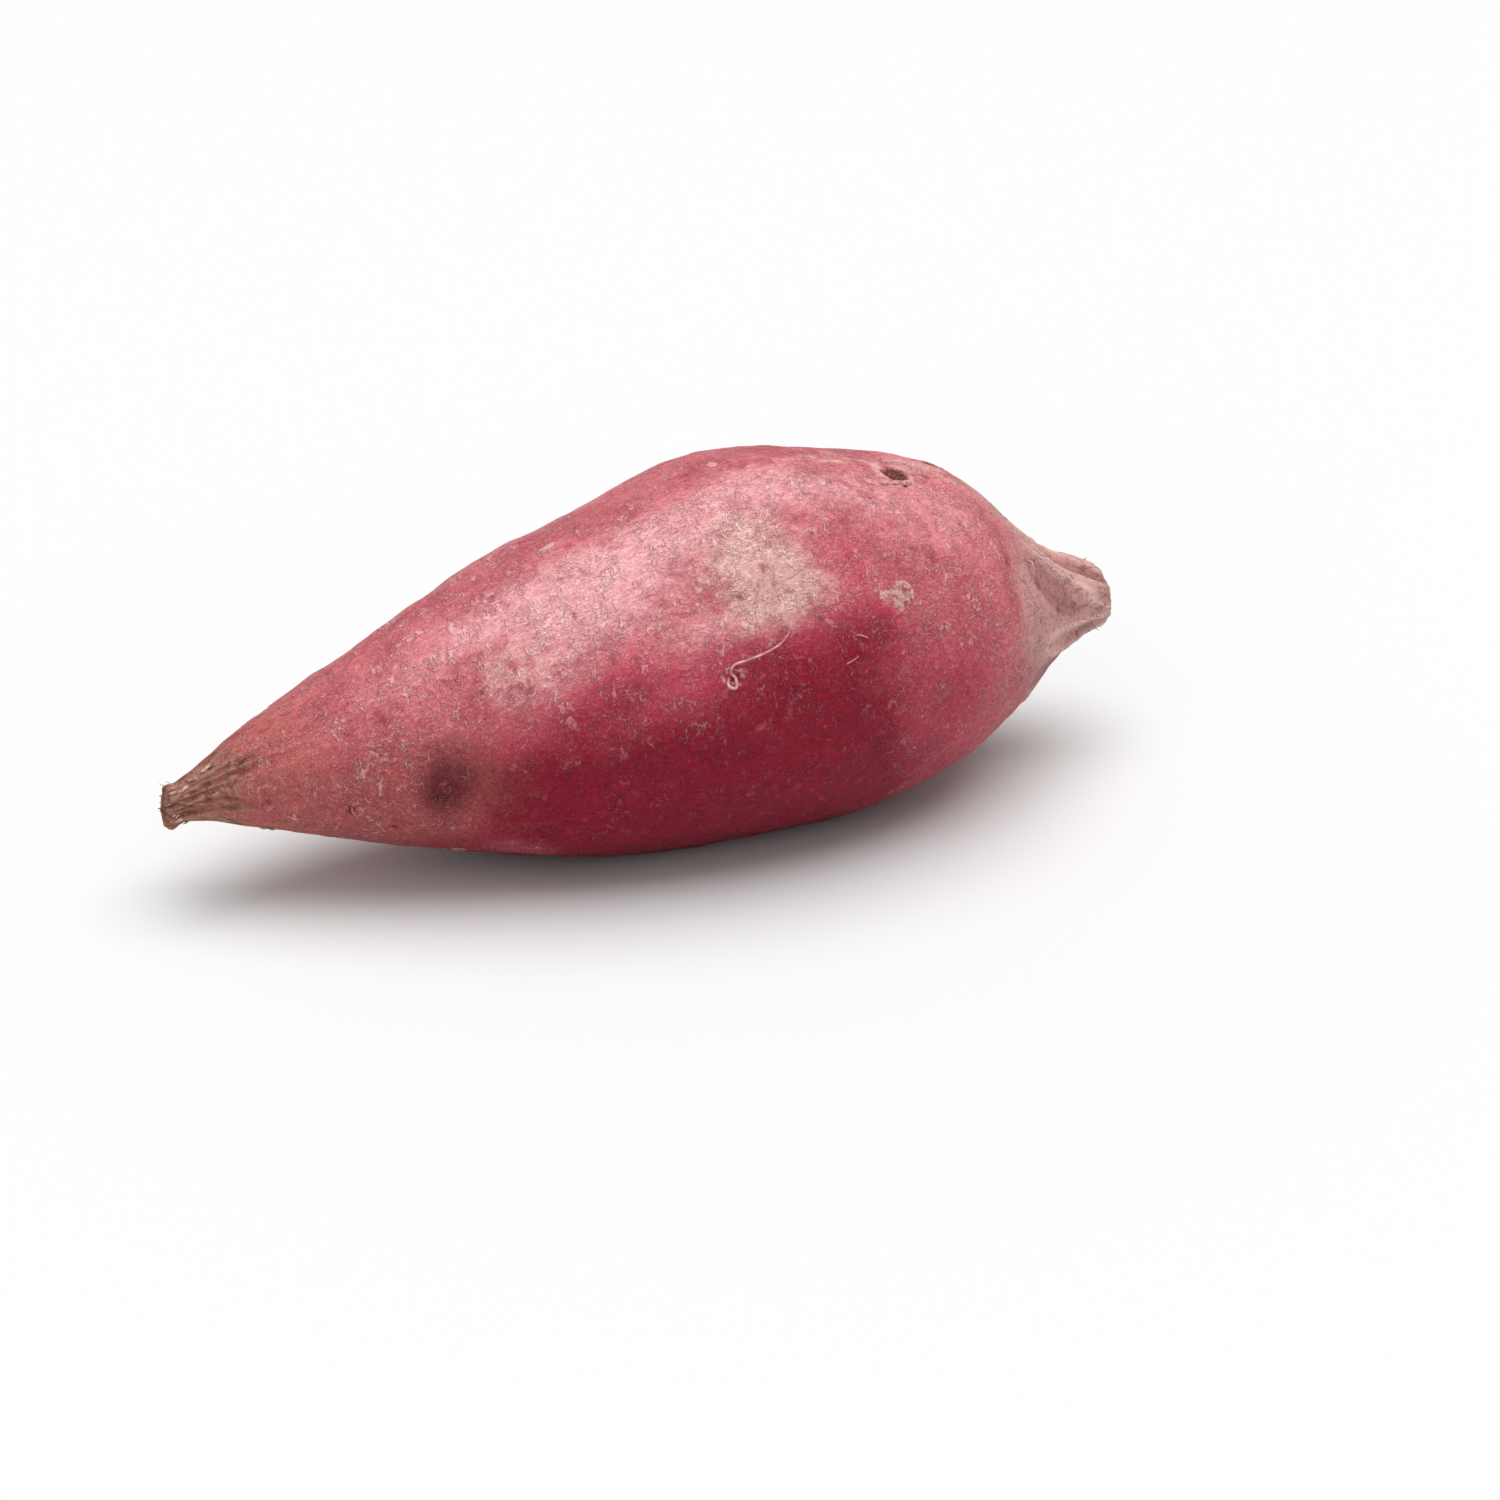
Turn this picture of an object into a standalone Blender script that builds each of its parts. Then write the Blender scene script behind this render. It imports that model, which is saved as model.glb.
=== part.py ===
"""A whole red-skinned sweet potato, grown as one spindle with a torn stub at one end and a
short tail at the other, lying on the side where it has settled flat.

Metres, +Z up. +X runs from the torn stub to the tail. The origin is on the ground under the
middle of the root.
"""

import math

import bmesh
import bpy
from mathutils import Vector, noise

MM = 0.001

LENGTH = 185.0  # stub to tail
RINGS = 64  # steps from end to end
SIDES = 48  # steps around
OVAL = 0.95  # a section's height over its width
SETTLED = 1.2  # how much of the belly is lost to the flat it lies on
STUB_CUP = 0.9  # how far the torn end is hollowed
TAIL_DOME = 1.2  # how far the tail's end bulges
STUB_BEND = 4.0  # how far the stub is swept to the back
TAIL_BEND = 6.5  # and the tail
SWELL = 1.3  # height of the broad lumps
SWELL_LENGTH = 40.0  # their spacing along the root
SWELL_ROUND = 1.2  # about how many come side by side around it
SWELL_SEED = 7.0  # another number grows another root
END_CROWDING = 0.55  # 0 spaces the rings evenly, 1 bunches them at the ends
END_FACE = (0.0, 0.55, 0.92)  # radii of an end face's rings, over the stub's own radius

# The root's growth line: distance from mid-length, radius, height of the middle of the section.
GROWTH = (
    (-92.5, 3.0, 19.7),
    (-90.0, 3.6, 20.0),
    (-84.0, 5.6, 21.6),
    (-76.0, 9.6, 22.9),
    (-64.0, 14.6, 24.3),
    (-48.0, 21.0, 26.5),
    (-28.0, 28.1, 28.9),
    (-6.0, 33.1, 31.6),
    (16.0, 36.0, 34.0),
    (36.0, 33.7, 33.0),
    (54.0, 28.6, 32.6),
    (66.0, 20.6, 31.0),
    (74.0, 14.6, 29.6),
    (80.0, 10.2, 28.8),
    (86.0, 7.2, 28.2),
    (92.5, 5.2, 27.0),
)

SKIN_COLOUR = (0.42, 0.085, 0.11, 1.0)
SKIN_ROUGHNESS = 0.5


def slope(i, column):
    """The growth line's slope at station i, from its neighbours."""
    a = GROWTH[max(i - 1, 0)]
    b = GROWTH[min(i + 1, len(GROWTH) - 1)]
    return (b[column] - a[column]) / (b[0] - a[0])


def grown(x, column):
    """A smooth curve through the growth line's stations."""
    i = 0
    while i < len(GROWTH) - 2 and x > GROWTH[i + 1][0]:
        i += 1
    a, b = GROWTH[i], GROWTH[i + 1]
    span = b[0] - a[0]
    t = min(max((x - a[0]) / span, 0.0), 1.0)
    return (
        a[column] * (2 * t**3 - 3 * t**2 + 1)
        + slope(i, column) * span * (t**3 - 2 * t**2 + t)
        + b[column] * (3 * t**2 - 2 * t**3)
        + slope(i + 1, column) * span * (t**3 - t**2)
    )


def station(ring):
    """How far along the root a ring lies, and how much of the full radius it has."""
    rim = len(END_FACE) - 1
    if ring <= rim:
        return LENGTH / 2, END_FACE[ring]
    if RINGS - ring <= rim:
        return -LENGTH / 2, END_FACE[RINGS - ring]
    t = (ring - rim) / (RINGS - 2 * rim)
    bunched = 0.5 + 0.5 * math.cos(math.pi * t)
    even = 1.0 - t
    share = END_CROWDING * bunched + (1.0 - END_CROWDING) * even
    return LENGTH * (share - 0.5), 1.0


def swell(x, angle):
    """The broad lumps, dying away toward the ends."""
    around = SWELL_ROUND * math.cos(angle), SWELL_ROUND * math.sin(angle) + SWELL_SEED
    lump = noise.noise(Vector((x / SWELL_LENGTH, *around)))
    return SWELL * lump * (1.0 - (x / (LENGTH / 2)) ** 4)


def place(ring, angle):
    """A point of the skin; the belly is pressed flat on the ground."""
    x, fill = station(ring)
    radius = (grown(x, 1) + swell(x, angle)) * fill
    bend = TAIL_BEND if x > 0 else STUB_BEND
    y = bend * (x / (LENGTH / 2)) ** 2 + radius * math.cos(angle)
    z = grown(x, 2) - SETTLED + OVAL * radius * math.sin(angle)
    if fill < 1.0:
        depth = 1.0 - fill**2
        x += TAIL_DOME * depth if x > 0 else STUB_CUP * depth
    return Vector((x, y, max(z, 0.0)))


def root_mesh():
    """A sphere drawn out along the root, ring by ring."""
    bm = bmesh.new()
    bmesh.ops.create_uvsphere(bm, u_segments=SIDES, v_segments=RINGS, radius=1.0)
    for v in bm.verts:
        ring = round(math.acos(max(-1.0, min(1.0, v.co.z))) / math.pi * RINGS)
        v.co = place(ring, math.atan2(v.co.y, v.co.x))
    low = Vector(min(v.co[i] for v in bm.verts) for i in range(3))
    high = Vector(max(v.co[i] for v in bm.verts) for i in range(3))
    ground = Vector(((low.x + high.x) / 2, (low.y + high.y) / 2, low.z))
    for v in bm.verts:
        v.co = (v.co - ground) * MM
    bmesh.ops.recalc_face_normals(bm, faces=bm.faces)
    for f in bm.faces:
        f.smooth = True
    mesh = bpy.data.meshes.new("sweet_potato")
    bm.to_mesh(mesh)
    bm.free()
    return mesh


def skin_material():
    material = bpy.data.materials.new("skin")
    material.use_nodes = True
    shader = material.node_tree.nodes["Principled BSDF"]
    shader.inputs["Base Color"].default_value = SKIN_COLOUR
    shader.inputs["Roughness"].default_value = SKIN_ROUGHNESS
    return material


for old in list(bpy.data.objects):
    bpy.data.objects.remove(old)

collection = bpy.data.collections.new("sweet_potato")
bpy.context.scene.collection.children.link(collection)
root = bpy.data.objects.new("sweet_potato", root_mesh())
root.data.materials.append(skin_material())
collection.objects.link(root)
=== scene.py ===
import math
import random

import bmesh
import bpy
import numpy as np
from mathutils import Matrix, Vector, noise
from mathutils.bvhtree import BVHTree


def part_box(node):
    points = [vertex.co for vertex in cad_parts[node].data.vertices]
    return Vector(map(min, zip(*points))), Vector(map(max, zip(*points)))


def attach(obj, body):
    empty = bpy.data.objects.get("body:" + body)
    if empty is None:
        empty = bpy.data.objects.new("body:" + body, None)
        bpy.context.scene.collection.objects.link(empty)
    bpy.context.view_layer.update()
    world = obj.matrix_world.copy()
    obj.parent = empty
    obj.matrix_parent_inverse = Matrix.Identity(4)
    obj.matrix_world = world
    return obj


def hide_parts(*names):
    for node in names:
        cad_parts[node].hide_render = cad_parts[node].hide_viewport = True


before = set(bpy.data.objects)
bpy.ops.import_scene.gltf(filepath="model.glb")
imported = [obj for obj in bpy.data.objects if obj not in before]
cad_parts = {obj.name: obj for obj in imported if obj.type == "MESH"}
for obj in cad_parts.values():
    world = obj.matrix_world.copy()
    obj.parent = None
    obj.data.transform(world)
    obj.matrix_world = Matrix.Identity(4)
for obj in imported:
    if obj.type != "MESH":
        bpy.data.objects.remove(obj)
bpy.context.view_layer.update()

# A whole red-skinned sweet potato, resting on its flat spot on a pale studio floor.
# Distances are in mm from the middle of the root, plus toward the tail.
# Angles are in degrees round it: 0 is the back, 90 the top, 180 the front, 270 the belly.
MM = 0.001

# ---------------------------------------------------------------- the skin's grid
AROUND = 320  # columns round the root
ALONG = 284  # rows from the torn rim to the tail's rim
STUB_FACE_ROWS = 12  # rows across the torn end
TAIL_FACE_ROWS = 10  # rows across the tail's end
FINE_STEP = 0.36  # row spacing near the ends, in mm
COARSE_STEP = 0.78  # row spacing in the middle, in mm
SEAM = -90.0  # the first column runs along the belly, in degrees
STUB_INSET = 0.7  # the first row lies this far inside the torn end, in mm
TAIL_INSET = 1.6  # and the last row inside the tail's end
THINNEST = 0.30  # how much of its radius the root keeps where the relief sinks deepest

# ---------------------------------------------------------------- what grows on the skin
# Eyes and old root scars: place, angle, half length, half width, turn, depth, rim height, darkness.
SCARS = (
    (40.6, 103.8, 2.8, 2.2, 12, 0.40, 0.45, 1.0),
    (40.0, 110.2, 3.8, 0.50, 2, 0.30, 0.45, 0.7),
    (36.9, 107.0, 2.0, 0.50, 65, 0.30, 0.18, 0.5),
    (53.0, 89, 2.0, 1.4, 0, 0.60, 0.15, 0.9),
    (46.5, 104.5, 2.2, 0.45, -8, 0.25, 0.10, 0.7),
    (-50.6, 187, 1.2, 0.8, 20, 0.45, 0.0, 0.8),
    (-64.1, 193, 1.2, 0.6, 75, 0.35, 0.12, 0.5),
    (-56.7, 209, 1.1, 0.8, 0, 0.35, 0.08, 0.5),
    (-59.3, 157, 1.9, 0.5, 50, 0.28, 0.22, 0.35),
    (-58.0, 160, 1.2, 0.5, 40, 0.22, 0.20, 0.3),
    (-70.5, 100, 0.9, 0.6, 20, 0.35, 0.12, 0.5),
    (-35.2, 104, 1.3, 0.7, 70, 0.25, 0.28, 0.25),
    (-1.6, 163.5, 1.5, 1.0, 20, 0.35, 0.35, 0.35),
    (26.0, 42, 2.4, 1.8, 25, 0.80, 0.20, 0.9),
    (-12.0, -8, 2.0, 1.5, -15, 0.70, 0.18, 0.8),
    (48.0, -38, 2.2, 1.6, 40, 0.75, 0.20, 0.9),
    (-38.0, 35, 1.5, 1.1, 0, 0.50, 0.15, 0.7),
    (8.0, 236, 1.8, 1.3, 30, 0.50, 0.15, 0.6),
    (60.0, 20, 1.6, 1.2, 0, 0.50, 0.15, 0.7),
)
# Corky scabs, a little proud of the skin: place, angle, half length, half width, height.
SCABS = (
    (31.5, 150, 3.0, 2.3, 0.30),
    (-22.4, 91, 1.7, 1.0, 0.18),
    (-15.0, 15, 2.6, 1.8, 0.25),
    (38.0, 330, 2.2, 2.8, 0.25),
    (-45.0, 240, 2.0, 1.4, 0.20),
)
# Soft folds that stand up a little: place, angle, half length, half width, turn, height.
FOLDS = (
    (49.0, 103, 4.2, 0.45, 4, 0.35),
    (40.2, 113, 3.0, 0.50, 3, 0.40),
    (7.5, 128, 2.6, 0.6, 60, 0.22),
    (13.0, 141, 3.0, 0.6, 100, 0.20),
    (1.0, 133, 2.0, 0.5, 20, 0.20),
    (41.0, 122, 0.9, 0.8, 0, 0.45),
    (-2.5, 168, 2.2, 0.6, 95, 0.30),
    (-9.0, 170, 2.8, 0.7, 105, 0.28),
    (20.0, 113, 4.5, 0.9, 25, 0.20),
    (-55.0, 140, 3.2, 0.5, 35, 0.20),
    (58.0, 125, 2.4, 0.5, 80, 0.22),
)
# Broad humps, and hollows where the height is minus: place, angle, half length, half width, height.
HUMPS = (
    (8.0, 92, 10, 26, 0.50),
    (34.0, 92, 16, 24, 0.40),
    (70.0, 95, 5, 12, -0.60),
    (76.0, 90, 4.5, 9, -1.00),
    (-15.0, 90, 9, 26, -0.60),
)
TAIL_TWIST = -1.3  # how far the tail's folds wind round it, in degrees per mm

# Broad colour patches: place, angle, half length, half width, strength.
# Pale bloom; its strongest spots on the upper front also stand in for a painted highlight.
BLOOM_AND_HIGHLIGHT = (
    (-56.0, 128, 12, 7, 0.22),
    (-38.0, 114, 12, 6, 0.55),
    (-20.0, 119, 13, 9, 1.00),
    (-21.0, 134, 17, 7, 0.35),
    (-33.0, 149, 9, 5, 0.35),
    (-4.0, 112, 10, 8, 0.55),
    (-2.0, 149, 11, 4, 0.50),
    (13.0, 108, 12, 9, 0.70),
    (30.0, 114, 10, 8, 0.45),
    (46.0, 124, 11, 10, 0.42),
    (-10.0, 30, 24, 16, 0.70),
    (32.0, 355, 18, 14, 0.60),
    (-52.0, 345, 15, 9, 0.50),
    (25.0, 250, 20, 14, 0.35),
)
GREY_PATCH = (
    (5.5, 131, 9, 11, 1.00),
    (11.0, 144, 8, 6, 0.85),
    (-38.0, 138, 9, 8, 0.30),
    (-33.0, 148, 9, 7, 0.26),
    (34.0, 93, 15, 6, 0.50),
    (50.0, 96, 8, 5, 0.40),
    (-8.0, 355, 10, 8, 0.60),
    (40.0, 15, 10, 9, 0.45),
)
# Crimson skin; the spots on the lower front also hold painted shade.
CRIMSON_AND_SHADE_SPOTS = (
    (-18.0, 155, 7, 6, 0.28),
    (-25.0, 164, 7, 5, 0.30),
    (12.0, 163, 17, 7, 0.50),
    (24.0, 137, 4.5, 7, 0.30),
    (26.0, 157, 9, 4, 0.24),
    (26.0, 60, 14, 9, 0.35),
    (-34.0, 330, 14, 9, 0.40),
)
DULL_RED = (
    (-58.0, 205, 15, 17, 0.95),
    (-46.0, 178, 10, 9, 0.60),
    (-78.0, 185, 8, 10, 0.20),
    (-30.0, 80, 26, 8, 0.30),
    (-50.0, 0, 20, 14, 0.50),
    (40.0, 300, 16, 14, 0.40),
)
BRUISE = (
    (-50.0, 184, 3.6, 5.0, 0.75),
    (-49.0, 176, 6.5, 6.5, 0.50),
    (-42.0, 185, 8.0, 7.0, 0.30),
    (20.0, 320, 6.0, 5.0, 0.6),
)
LOW_SIDE = 250.0  # the side facing down and forward: deep crimson skin, darkened further with painted shade
LOW_SIDE_SHADE_DEPTH = 1.35  # how strong its crimson and painted shade are

PIT_ROWS = 6  # small root pits come in rows down the root
PITS_IN_A_ROW = 15
LOOSE_PITS = 110
NICKS = 90  # short scratches pressed into the skin
NICK_WIDTH = 0.32  # half width of a nick, in mm

# ---------------------------------------------------------------- skin colours (linear)
ROSE = (0.53, 0.128, 0.145)
ROSE_DARK = (0.31, 0.046, 0.064)
# pale bloom, also laid as a painted highlight on the upper front
BLOOM_AND_HIGHLIGHT_PINK = (0.69, 0.325, 0.345)
# deep crimson, also laid as painted shade on the low front side
CRIMSON_AND_SHADE_RED = (0.215, 0.006, 0.022)
CRIMSON_BRIGHT = (0.43, 0.055, 0.088)
GREY_PINK = (0.62, 0.370, 0.335)
DUSTY_RED = (0.40, 0.092, 0.085)
DULL_BROWN = (0.32, 0.064, 0.060)
CORK_BROWN = (0.25, 0.095, 0.066)
CORK_DARK = (0.085, 0.034, 0.026)
TAIL_ASH = (0.55, 0.300, 0.280)
TAIL_CORK = (0.50, 0.260, 0.225)
BRUISE_PLUM = (0.110, 0.012, 0.019)
SCAR_BROWN = (0.070, 0.016, 0.015)
SCAR_RUST = (0.22, 0.065, 0.050)
SCAB_BEIGE = (0.64, 0.430, 0.350)
SCUFF_PALE = (0.78, 0.480, 0.470)
FIBRE_TAN = (0.42, 0.235, 0.170)
FIBRE_PALE = (0.62, 0.420, 0.340)
TAIL_PALE = (0.74, 0.500, 0.460)
TAIL_DARK = (0.27, 0.095, 0.092)
ROOTLET_RED = (0.48, 0.17, 0.18)
ROOTLET_PALE = (0.70, 0.40, 0.40)
LIFT = (0.30, 0.48, 0.45)  # brightens what lies under it
SHADE = (0.66, 0.50, 0.55)  # darkens what lies under it

SKIN_SHEEN = 0.11  # specular level of the dry skin
SKIN_RELIEF = 0.62  # depth of the finest relief, in mm
STRAND_RELIEF = 0.12  # and on rootlets and fibres


# ================================================================ the base form
def smoothed(node):
    """The CAD root, smoothed, ready to be felt by rays, and the middle of each of its rings."""
    bm = bmesh.new()
    bm.from_mesh(node.data)
    bmesh.ops.remove_doubles(bm, verts=bm.verts, dist=0.01 * MM)
    bmesh.ops.join_triangles(
        bm, faces=bm.faces, angle_face_threshold=0.7, angle_shape_threshold=3.0
    )
    mesh = bpy.data.meshes.new("form")
    bm.to_mesh(mesh)
    bm.free()
    places = np.array([v.co for v in mesh.vertices]) / MM
    ring_of = np.round(places[:, 0], 1)
    middles = []
    for x in np.unique(ring_of):
        ring = places[ring_of == x]
        middles.append([x, *((ring.min(0) + ring.max(0)) / 2)[1:]])
    form = bpy.data.objects.new("form", mesh)
    bpy.context.scene.collection.objects.link(form)
    smooth = form.modifiers.new("smooth", "SUBSURF")
    smooth.levels = smooth.render_levels = 2
    tree = BVHTree.FromObject(form, bpy.context.evaluated_depsgraph_get())
    bpy.data.objects.remove(form)
    return tree, np.array(middles)


def row_places(low, high):
    """Where the rows lie along the root: closer together near both ends."""
    x = np.linspace(low, high, 2001)
    share = (x - low) / (high - low)
    middle = np.clip(np.minimum(share, 1.0 - share) / 0.28, 0.0, 1.0)
    step = FINE_STEP + (COARSE_STEP - FINE_STEP) * middle**2 * (3 - 2 * middle)
    count = np.concatenate([[0.0], np.cumsum(1.0 / step[:-1])])
    return np.interp(np.linspace(0.0, 1.0, ALONG), count / count[-1], x)


def felt(tree, middles, x, angles):
    """The form's surface in mm, row by row, and the middle that each row is felt from."""
    middle = np.stack([x, *(np.interp(x, middles[:, 0], middles[:, k]) for k in (1, 2))], 1)
    found = np.empty((len(x), len(angles), 3))
    for i, start in enumerate(middle):
        origin = Vector(start * MM)
        for j, angle in enumerate(angles):
            way = Vector((0.0, math.cos(angle), math.sin(angle)))
            found[i, j] = tree.ray_cast(origin, way)[0]
    return found / MM, middle


def outward(places, middle):
    """Unit normals of a grid that closes round its columns."""
    round_it = np.roll(places, -1, 1) - np.roll(places, 1, 1)
    along_it = np.gradient(places, axis=0)
    normal = np.cross(along_it, round_it)
    normal /= np.linalg.norm(normal, axis=2, keepdims=True)
    away = (normal * (places - middle[:, None])).sum(2)
    return normal * np.sign(away.mean())


# ================================================================ relief
def swell(places, spacing, seed):
    """Smooth noise over points given in mm; spacing is one number, or one for each axis."""
    at = places / np.asarray(spacing, float) + seed
    flat = [noise.noise(Vector(p)) for p in at.reshape(-1, 3)]
    return np.array(flat).reshape(places.shape[:-1])


def ease(value, low, high):
    """A soft step from 0 at low to 1 at high."""
    t = np.clip((value - low) / (high - low), 0.0, 1.0)
    return t * t * (3.0 - 2.0 * t)


class Ground:
    """The root's surface as a grid, on which spots and folds are laid out."""

    def __init__(self, places, middle, angles):
        self.places = places
        self.x = places[..., 0]
        self.angle = np.broadcast_to(angles, self.x.shape)
        self.radius = np.linalg.norm(places - middle[:, None], axis=2)
        self.height = np.zeros(self.x.shape)
        self.toward_stub = ease(-self.x, 50.0, 88.0)
        self.toward_tail = ease(self.x, 56.0, 74.0)

    def round_from(self, angle):
        """How far round the root each point is from an angle, in radians either way."""
        return (self.angle - math.radians(angle) + math.pi) % (2 * math.pi) - math.pi

    def reach(self, x, angle, length, width, turn=0.0):
        """How far each point is from a spot, counted in the spot's own half sizes."""
        u, v = self.x - x, self.radius * self.round_from(angle)
        c, s = math.cos(math.radians(turn)), math.sin(math.radians(turn))
        return np.hypot((c * u + s * v) / length, (c * v - s * u) / width)

    def patches(self, spots):
        """The sum of soft round spots, each with its own strength."""
        total = np.zeros(self.x.shape)
        for x, angle, length, width, strength in spots:
            total += strength * np.exp(-self.reach(x, angle, length, width) ** 2)
        return total

    def creases(self, count, length, seed, twist=0.0):
        """Lengthwise folds that run together toward the ends; twist is in degrees per mm."""
        angle = self.angle + math.radians(twist) * self.x
        wind = np.stack(
            [
                count * np.cos(angle),
                count * np.sin(angle),
                self.x / length + 0.0 * self.angle,
            ],
            -1,
        )
        return swell(wind, 1.0, seed)


class Patch(Ground):
    """A few rows of the ground, so that a small spot costs little."""

    def __init__(self, ground, rows):
        self.x = ground.x[rows]
        self.angle = ground.angle[rows]
        self.radius = ground.radius[rows]


def lay_lumps(g):
    """Broad lumps over the body, and a slimmer neck toward the stub."""
    h = g.height
    body = 1.0 - 0.8 * np.maximum(g.toward_stub, g.toward_tail)
    h += 0.45 * swell(g.places, (26.0, 15.0, 15.0), 3.1) * body
    h += 0.30 * swell(g.places, 6.5, 11.7) * body
    h += 0.13 * swell(g.places, 2.6, 23.9)
    h += g.patches(HUMPS)
    h -= 0.28 * ease(-g.x, 55.0, 80.0) + 0.30 * ease(-g.x, 80.0, 88.0)


def lay_creases(g):
    """Lengthwise creases at both ends. Returns the stub's crests and the tail's folds."""
    h = g.height
    ridged = 1.0 - np.abs(g.creases(3.4, 30.0, 5.5)) * 3.2
    h += 0.34 * np.clip(ridged, -0.6, 1.0) * g.toward_stub**1.5
    h += 0.16 * g.creases(7.5, 22.0, 8.3) * ease(-g.x, 70.0, 90.0)
    h += 0.10 * g.creases(2.2, 40.0, 2.2) * ease(-g.x, 25.0, 70.0)
    gathered = 1.0 - np.abs(g.creases(2.2, 30.0, 14.1, TAIL_TWIST)) * 4.2
    h += 0.62 * np.clip(gathered, -0.7, 1.0) * g.toward_tail * (1.0 - 0.5 * ease(g.x, 80.0, 90.0))
    h += 0.30 * g.creases(5.0, 22.0, 17.7, TAIL_TWIST) * g.toward_tail
    crest = 0.5 + 0.5 * np.clip(ridged, -1.0, 1.0) * g.toward_stub
    fold = 0.5 + 0.5 * np.clip(gathered, -1.0, 1.0) * g.toward_tail
    return crest, fold


def lay_scars(g):
    """Sinks the eyes and scars and raises their rims. Returns where scars and rims show."""
    h = g.height
    scar = np.zeros(h.shape)
    rim = np.zeros(h.shape)
    for x, angle, length, width, turn, depth, lip, dark in SCARS:
        q = g.reach(x, angle, length, width, turn)
        q = q * (1.0 + 0.60 * swell(g.places, 1.5, x))
        dip = np.exp(-(q**4))
        lips = np.exp(-(((q - 1.25) / 0.30) ** 2))
        h += -depth * dip * (0.7 + 0.9 * swell(g.places, 1.3, x + 5.0)) + lip * lips
        scar = np.maximum(scar, dip * dark)
        rim = np.maximum(rim, lips * min(1.0, lip / 0.25))
    return scar, rim


def lay_scabs(g):
    """Raises the corky scabs. Returns where they show."""
    h = g.height
    scab = np.zeros(h.shape)
    for x, angle, length, width, height in SCABS:
        q = g.reach(x, angle, length, width) * (1.0 + 0.7 * swell(g.places, 2.2, x))
        patch = np.exp(-(q**6))
        h += height * patch * (0.7 + 0.9 * swell(g.places, 1.1, x))
        scab = np.maximum(scab, patch)
    return scab


def lay_folds(g):
    """Raises the soft folds; a shallow groove crosses each at a slant."""
    h = g.height
    for x, angle, length, width, turn, height in FOLDS:
        q = g.reach(x, angle, length, width, turn)
        bent = g.reach(x, angle, length, width * 2.2, turn + 14)
        h += height * np.exp(-(q**2)) - 0.5 * height * np.exp(-(bent**2))


def small_marks():
    """Rows of small root pits, loose pits and nicks: place, angle, half sizes, turn, depth."""
    dice = random.Random(41)
    marks = []
    for row in range(PIT_ROWS):
        for step in range(PITS_IN_A_ROW):
            x = -82.0 + 164.0 * (step + dice.uniform(0.1, 0.9)) / PITS_IN_A_ROW
            angle = 360.0 * row / PIT_ROWS + 17.0 + dice.gauss(0.0, 7.0)
            size = dice.uniform(0.45, 0.85)
            turn = 90 + dice.gauss(0, 20)
            marks.append((x, angle, size * 1.5, size, turn, dice.uniform(0.15, 0.34)))
    for _ in range(LOOSE_PITS):
        size = dice.uniform(0.30, 0.60)
        x, angle = dice.uniform(-80, 72), dice.uniform(0, 360)
        turn = dice.uniform(0, 180)
        marks.append((x, angle, size * 1.4, size, turn, dice.uniform(0.08, 0.20)))
    for _ in range(NICKS):
        x, angle = dice.uniform(-78, 68), dice.uniform(0, 360)
        length = dice.uniform(0.9, 2.2)
        turn = dice.gauss(70, 35)
        marks.append((x, angle, length, NICK_WIDTH, turn, dice.uniform(0.06, 0.16)))
    return marks


def lay_small_marks(g, rim):
    """Sinks the pits and nicks and adds their lips to the rims. Returns where they show."""
    pits = np.zeros(g.x.shape)
    for x, angle, length, width, turn, depth in small_marks():
        rows = slice(*np.searchsorted(g.x[:, 0], (x - 4 * length - 1, x + 4 * length + 1)))
        q = Patch(g, rows).reach(x, angle, length, width, turn)
        dip = np.exp(-(q**3))
        lips = np.exp(-(((q - 1.5) / 0.45) ** 2))
        shown = min(1.0, depth / 0.2)
        g.height[rows] += depth * (0.45 * lips - dip)
        pits[rows] = np.maximum(pits[rows], dip * shown)
        rim[rows] = np.maximum(rim[rows], 0.45 * lips * shown)
    return pits


def fray_ends(g):
    """The torn rim flares and frays, most of all underneath. The tail's rim turns in."""
    h = g.height
    frayed = ease(-g.x, 89.5, 92.2)
    h += frayed * (0.20 + 0.40 * g.creases(4.0, 3.0, 31.0))
    h += 0.45 * np.exp(-(((g.x + 90.8) / 1.0) ** 2))
    h -= 0.8 * ease(-g.x, 91.2, 92.5)
    h += 0.8 * frayed * np.exp(-g.reach(-92.0, 245, 4, 3.2) ** 2)
    h -= 1.6 * ease(g.x, 88.0, 91.6) ** 2
    np.maximum(h, -THINNEST * g.radius, out=h)


def low_side_crimson_and_shade(g):
    """The deep crimson of the low front side with painted shade laid over it, with wandering edges."""
    off = np.degrees(np.abs(g.round_from(LOW_SIDE))) + 9.0 * swell(g.places, 16.0, 61.0)
    along = g.x + 16.0 * swell(g.places, 17.0, 67.0)
    # darkest where the side turns down and to the front: painted shade on the crimson
    shaded_low_side = 1.0 - ease(off, 50.0, 106.0)
    return LOW_SIDE_SHADE_DEPTH * shaded_low_side * ease(along, -64.0, -20.0) * (1.0 - ease(along, 5.0, 74.0))


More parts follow.
